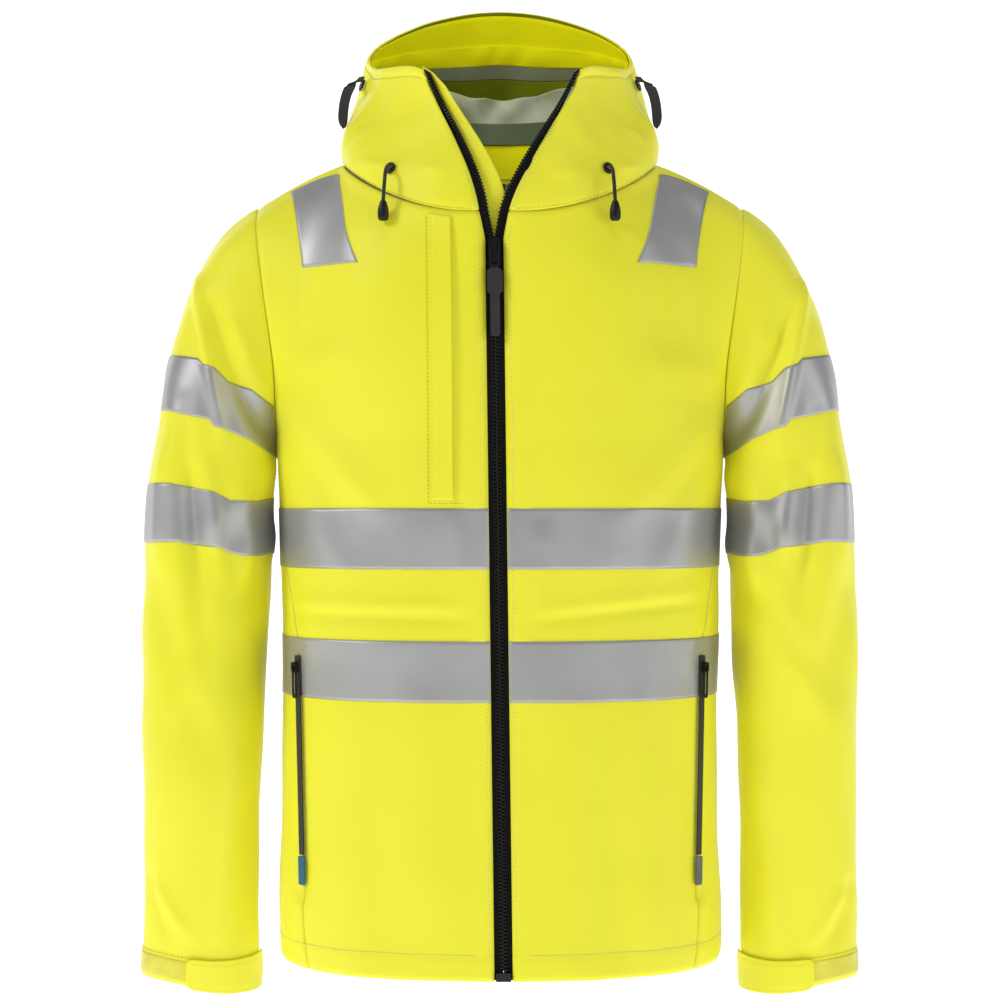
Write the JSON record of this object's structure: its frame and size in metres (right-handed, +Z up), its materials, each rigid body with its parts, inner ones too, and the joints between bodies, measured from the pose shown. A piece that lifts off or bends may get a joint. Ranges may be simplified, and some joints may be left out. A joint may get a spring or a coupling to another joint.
{
  "type": "foul weather jacket",
  "caption": "Hooded waterproof jacket with a full front zip, reflective bands on body and arms, zipped pockets, cuff tabs and a hanger loop, standing as on a body with the hood lowered.",
  "frame": {"origin": "underside of the hanger loop's top, inside the back of the neck, where a hook bears", "axes": "+Z up along the garment, front faces -Y, the wearer's left is +X"},
  "size_m": [0.6282, 0.2862, 0.8782],
  "materials": {
    "shell_fabric": "fluorescent yellow coated fabric, fine and smooth, soft sheen",
    "reflective_tape": "silver-grey reflective tape, fine glass-bead grain",
    "zip_tape": "black woven polyester tape",
    "moulded_black": "black moulded acetal, satin",
    "black_webbing": "black woven webbing",
    "black_cord": "black braided cord",
    "hook_loop": "yellow brushed loop tape",
    "grey_tab": "grey webbing tab",
    "blue_tab": "blue webbing tab",
    "lining": "pale lining fabric"
  },
  "bodies": {
    "jacket_body": {"back": "shell_fabric", "chest_tape_back": "reflective_tape", "chest_tape_left": "reflective_tape", "chest_tape_right": "reflective_tape", "chest_zip_tape": "zip_tape", "front_zip_box": "moulded_black", "front_zip_tape_left": "zip_tape", "front_zip_tape_right": "zip_tape", "front_zip_teeth_left": "moulded_black", "front_zip_teeth_right": "moulded_black", "hanger_loop": "black_webbing", "hood_left_side": "shell_fabric", "hood_right_side": "shell_fabric", "inner_storm_flap": "shell_fabric", "left_adjuster_eyelet": "moulded_black", "left_cord_eyelet": "moulded_black", "left_front": "shell_fabric", "left_pocket_bag": "lining", "left_pocket_tab": "grey_tab", "left_pocket_zip_tape": "zip_tape", "left_side_panel": "shell_fabric", "right_adjuster_eyelet": "moulded_black", "right_cord_eyelet": "moulded_black", "right_front": "shell_fabric", "right_pocket_bag": "lining", "right_pocket_tab": "blue_tab", "right_pocket_zip_tape": "zip_tape", "right_side_panel": "shell_fabric", "shoulder_tape_left": "reflective_tape", "shoulder_tape_right": "reflective_tape", "waist_tape_back": "reflective_tape", "waist_tape_left": "reflective_tape", "waist_tape_right": "reflective_tape"},
    "front_slider": {"front_slider": "moulded_black"},
    "front_pull": {"front_pull_link": "moulded_black", "front_pull_tab": "black_webbing"},
    "chest_flap": {"chest_pocket_flap": "shell_fabric"},
    "hood_crown": {"hood_crown": "shell_fabric", "hood_brim_facing": "shell_fabric"},
    "left_pocket_slider": {"left_pocket_slider": "moulded_black"},
    "left_pocket_pull": {"left_pocket_pull": "moulded_black"},
    "left_sleeve": {"left_sleeve": "shell_fabric", "left_upper_arm_tape": "reflective_tape", "left_lower_arm_tape": "reflective_tape", "left_cuff_loop_strip": "hook_loop"},
    "left_cuff_tab": {"left_cuff_tab": "shell_fabric"},
    "left_hood_cord": {"left_hood_cord": "black_cord", "left_cord_end": "moulded_black"},
    "left_adjuster_tab": {"left_adjuster_tab": "black_webbing"},
    "right_pocket_slider": {"right_pocket_slider": "moulded_black"},
    "right_pocket_pull": {"right_pocket_pull": "moulded_black"},
    "right_sleeve": {"right_sleeve": "shell_fabric", "right_upper_arm_tape": "reflective_tape", "right_lower_arm_tape": "reflective_tape", "right_cuff_loop_strip": "hook_loop"},
    "right_cuff_tab": {"right_cuff_tab": "shell_fabric"},
    "right_hood_cord": {"right_hood_cord": "black_cord", "right_cord_end": "moulded_black"},
    "right_adjuster_tab": {"right_adjuster_tab": "black_webbing"}
  },
  "joints": [
    {"name": "front_slider_travel", "type": "slide", "parent": "jacket_body", "child": "front_slider", "axis": [0.0127, -0.0222, -0.9997], "range_m": [0, 0.57]},
    {"name": "front_pull_swing", "type": "hinge", "parent": "front_slider", "child": "front_pull", "pos_m": [-0.00465, -0.17896, -0.0736], "axis": [-0.9999, -0.0001, -0.0127], "range_deg": [0, 150]},
    {"name": "chest_flap_lift", "type": "hinge", "parent": "jacket_body", "child": "chest_flap", "pos_m": [-0.0572, -0.1846, -0.284], "axis": [0, 0, -1], "range_deg": [0, 75]},
    {"name": "hood_crown_tip", "type": "hinge", "parent": "jacket_body", "child": "hood_crown", "pos_m": [0, -0.004, 0.01], "axis": [1, 0, 0], "range_deg": [0, 12]},
    {"name": "left_pocket_slider_travel", "type": "slide", "parent": "jacket_body", "child": "left_pocket_slider", "axis": [-0.0248, -0.056, -0.9981], "range_m": [0, 0.147]},
    {"name": "left_pocket_pull_swing", "type": "hinge", "parent": "left_pocket_slider", "child": "left_pocket_pull", "pos_m": [0.17371, -0.13145, -0.4242], "axis": [-0.6211, -0.7815, 0.0593], "range_deg": [0, 150]},
    {"name": "left_sleeve_swing", "type": "hinge", "parent": "jacket_body", "child": "left_sleeve", "pos_m": [0.214, -0.056, -0.024], "axis": [0, -1, 0], "range_deg": [0, 70]},
    {"name": "left_cuff_tab_peel", "type": "hinge", "parent": "left_sleeve", "child": "left_cuff_tab", "pos_m": [0.207, -0.0834, -0.6917], "axis": [0, 0, -1], "range_deg": [0, 120]},
    {"name": "left_hood_cord_swing", "type": "hinge", "parent": "jacket_body", "child": "left_hood_cord", "pos_m": [0.09182, -0.14812, -0.00567], "axis": [-1, 0, 0], "range_deg": [0, 60]},
    {"name": "left_adjuster_tab_swing", "type": "hinge", "parent": "jacket_body", "child": "left_adjuster_tab", "pos_m": [0.12768, -0.03017, 0.08814], "axis": [-0.4419, -0.8395, 0.3162], "range_deg": [0, 50]},
    {"name": "right_pocket_slider_travel", "type": "slide", "parent": "jacket_body", "child": "right_pocket_slider", "axis": [0.0288, -0.056, -0.998], "range_m": [0, 0.147]},
    {"name": "right_pocket_pull_swing", "type": "hinge", "parent": "right_pocket_slider", "child": "right_pocket_pull", "pos_m": [-0.17375, -0.13148, -0.42424], "axis": [-0.6241, 0.7789, -0.0617], "range_deg": [0, 150]},
    {"name": "right_sleeve_swing", "type": "hinge", "parent": "jacket_body", "child": "right_sleeve", "pos_m": [-0.214, -0.056, -0.024], "axis": [0, 1, 0], "range_deg": [0, 70]},
    {"name": "right_cuff_tab_peel", "type": "hinge", "parent": "right_sleeve", "child": "right_cuff_tab", "pos_m": [-0.207, -0.0834, -0.6917], "axis": [0, 0, 1], "range_deg": [0, 120]},
    {"name": "right_hood_cord_swing", "type": "hinge", "parent": "jacket_body", "child": "right_hood_cord", "pos_m": [-0.09312, -0.14806, -0.00561], "axis": [-1, 0, 0], "range_deg": [0, 60]},
    {"name": "right_adjuster_tab_swing", "type": "hinge", "parent": "jacket_body", "child": "right_adjuster_tab", "pos_m": [-0.12768, -0.03017, 0.08814], "axis": [-0.4419, 0.8395, -0.3162], "range_deg": [0, 50]}
  ]
}
